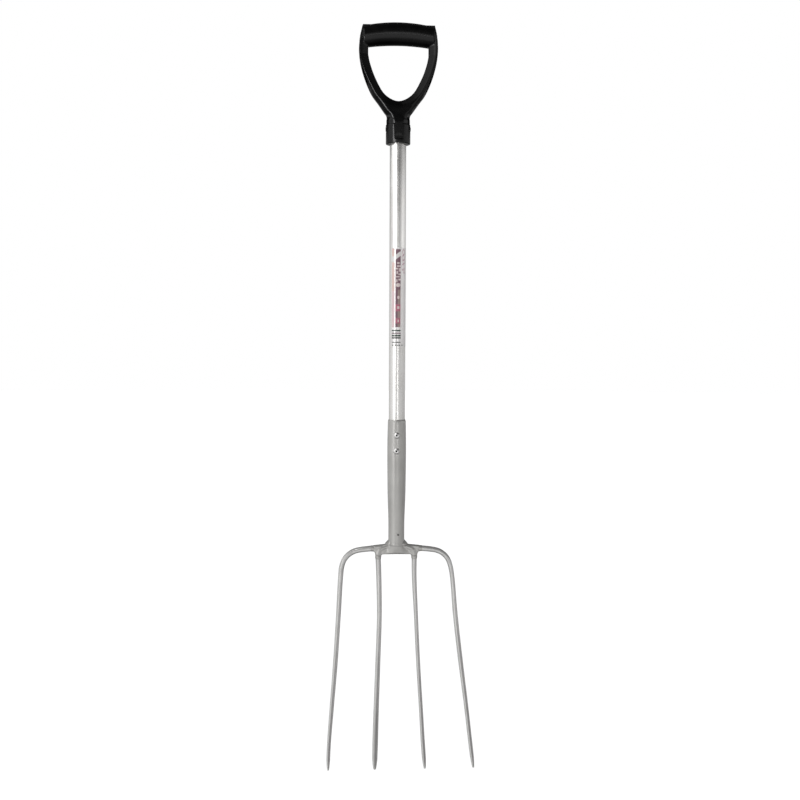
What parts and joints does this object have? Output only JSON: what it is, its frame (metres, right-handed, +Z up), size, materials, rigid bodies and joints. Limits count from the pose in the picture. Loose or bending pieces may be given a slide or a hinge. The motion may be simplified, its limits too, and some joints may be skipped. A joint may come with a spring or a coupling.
{
  "type": "garden fork",
  "caption": "Long-handled garden fork with a D-grip, a straight metal tube shaft and a welded head of dished, splayed round prongs.",
  "frame": {"origin": "middle of the grip's underside, on the shaft's axis, where the fork hangs from a hook or a hand", "axes": "+Z up the shaft towards the grip, +X to the right across the prongs, -Y to the front, the way the prongs are dished"},
  "size_m": [0.2168, 0.1349, 1.1066],
  "materials": {
    "handle_plastic": "satin moulded",
    "tube_aluminium": "satin drawn and anodised",
    "label_film": "printed clear film",
    "grey_enamel": "semi-gloss enamel",
    "bright_steel": "bright"
  },
  "bodies": {
    "root": {"d_handle": "handle_plastic", "handle_pin": "bright_steel", "shaft_tube": "tube_aluminium", "shaft_label": "label_film", "socket": "grey_enamel", "socket_rivet_upper": "bright_steel", "socket_rivet_lower": "bright_steel", "rivet_mandrel_upper": "bright_steel", "rivet_mandrel_lower": "bright_steel", "crosshead": "grey_enamel", "socket_weld_left": "grey_enamel", "socket_weld_right": "grey_enamel", "outer_tine_left": "grey_enamel", "inner_tine_left": "grey_enamel", "inner_tine_right": "grey_enamel", "outer_tine_right": "grey_enamel", "outer_weld_left": "grey_enamel", "inner_weld_left": "grey_enamel", "inner_weld_right": "grey_enamel", "outer_weld_right": "grey_enamel"}
  },
  "joints": []
}
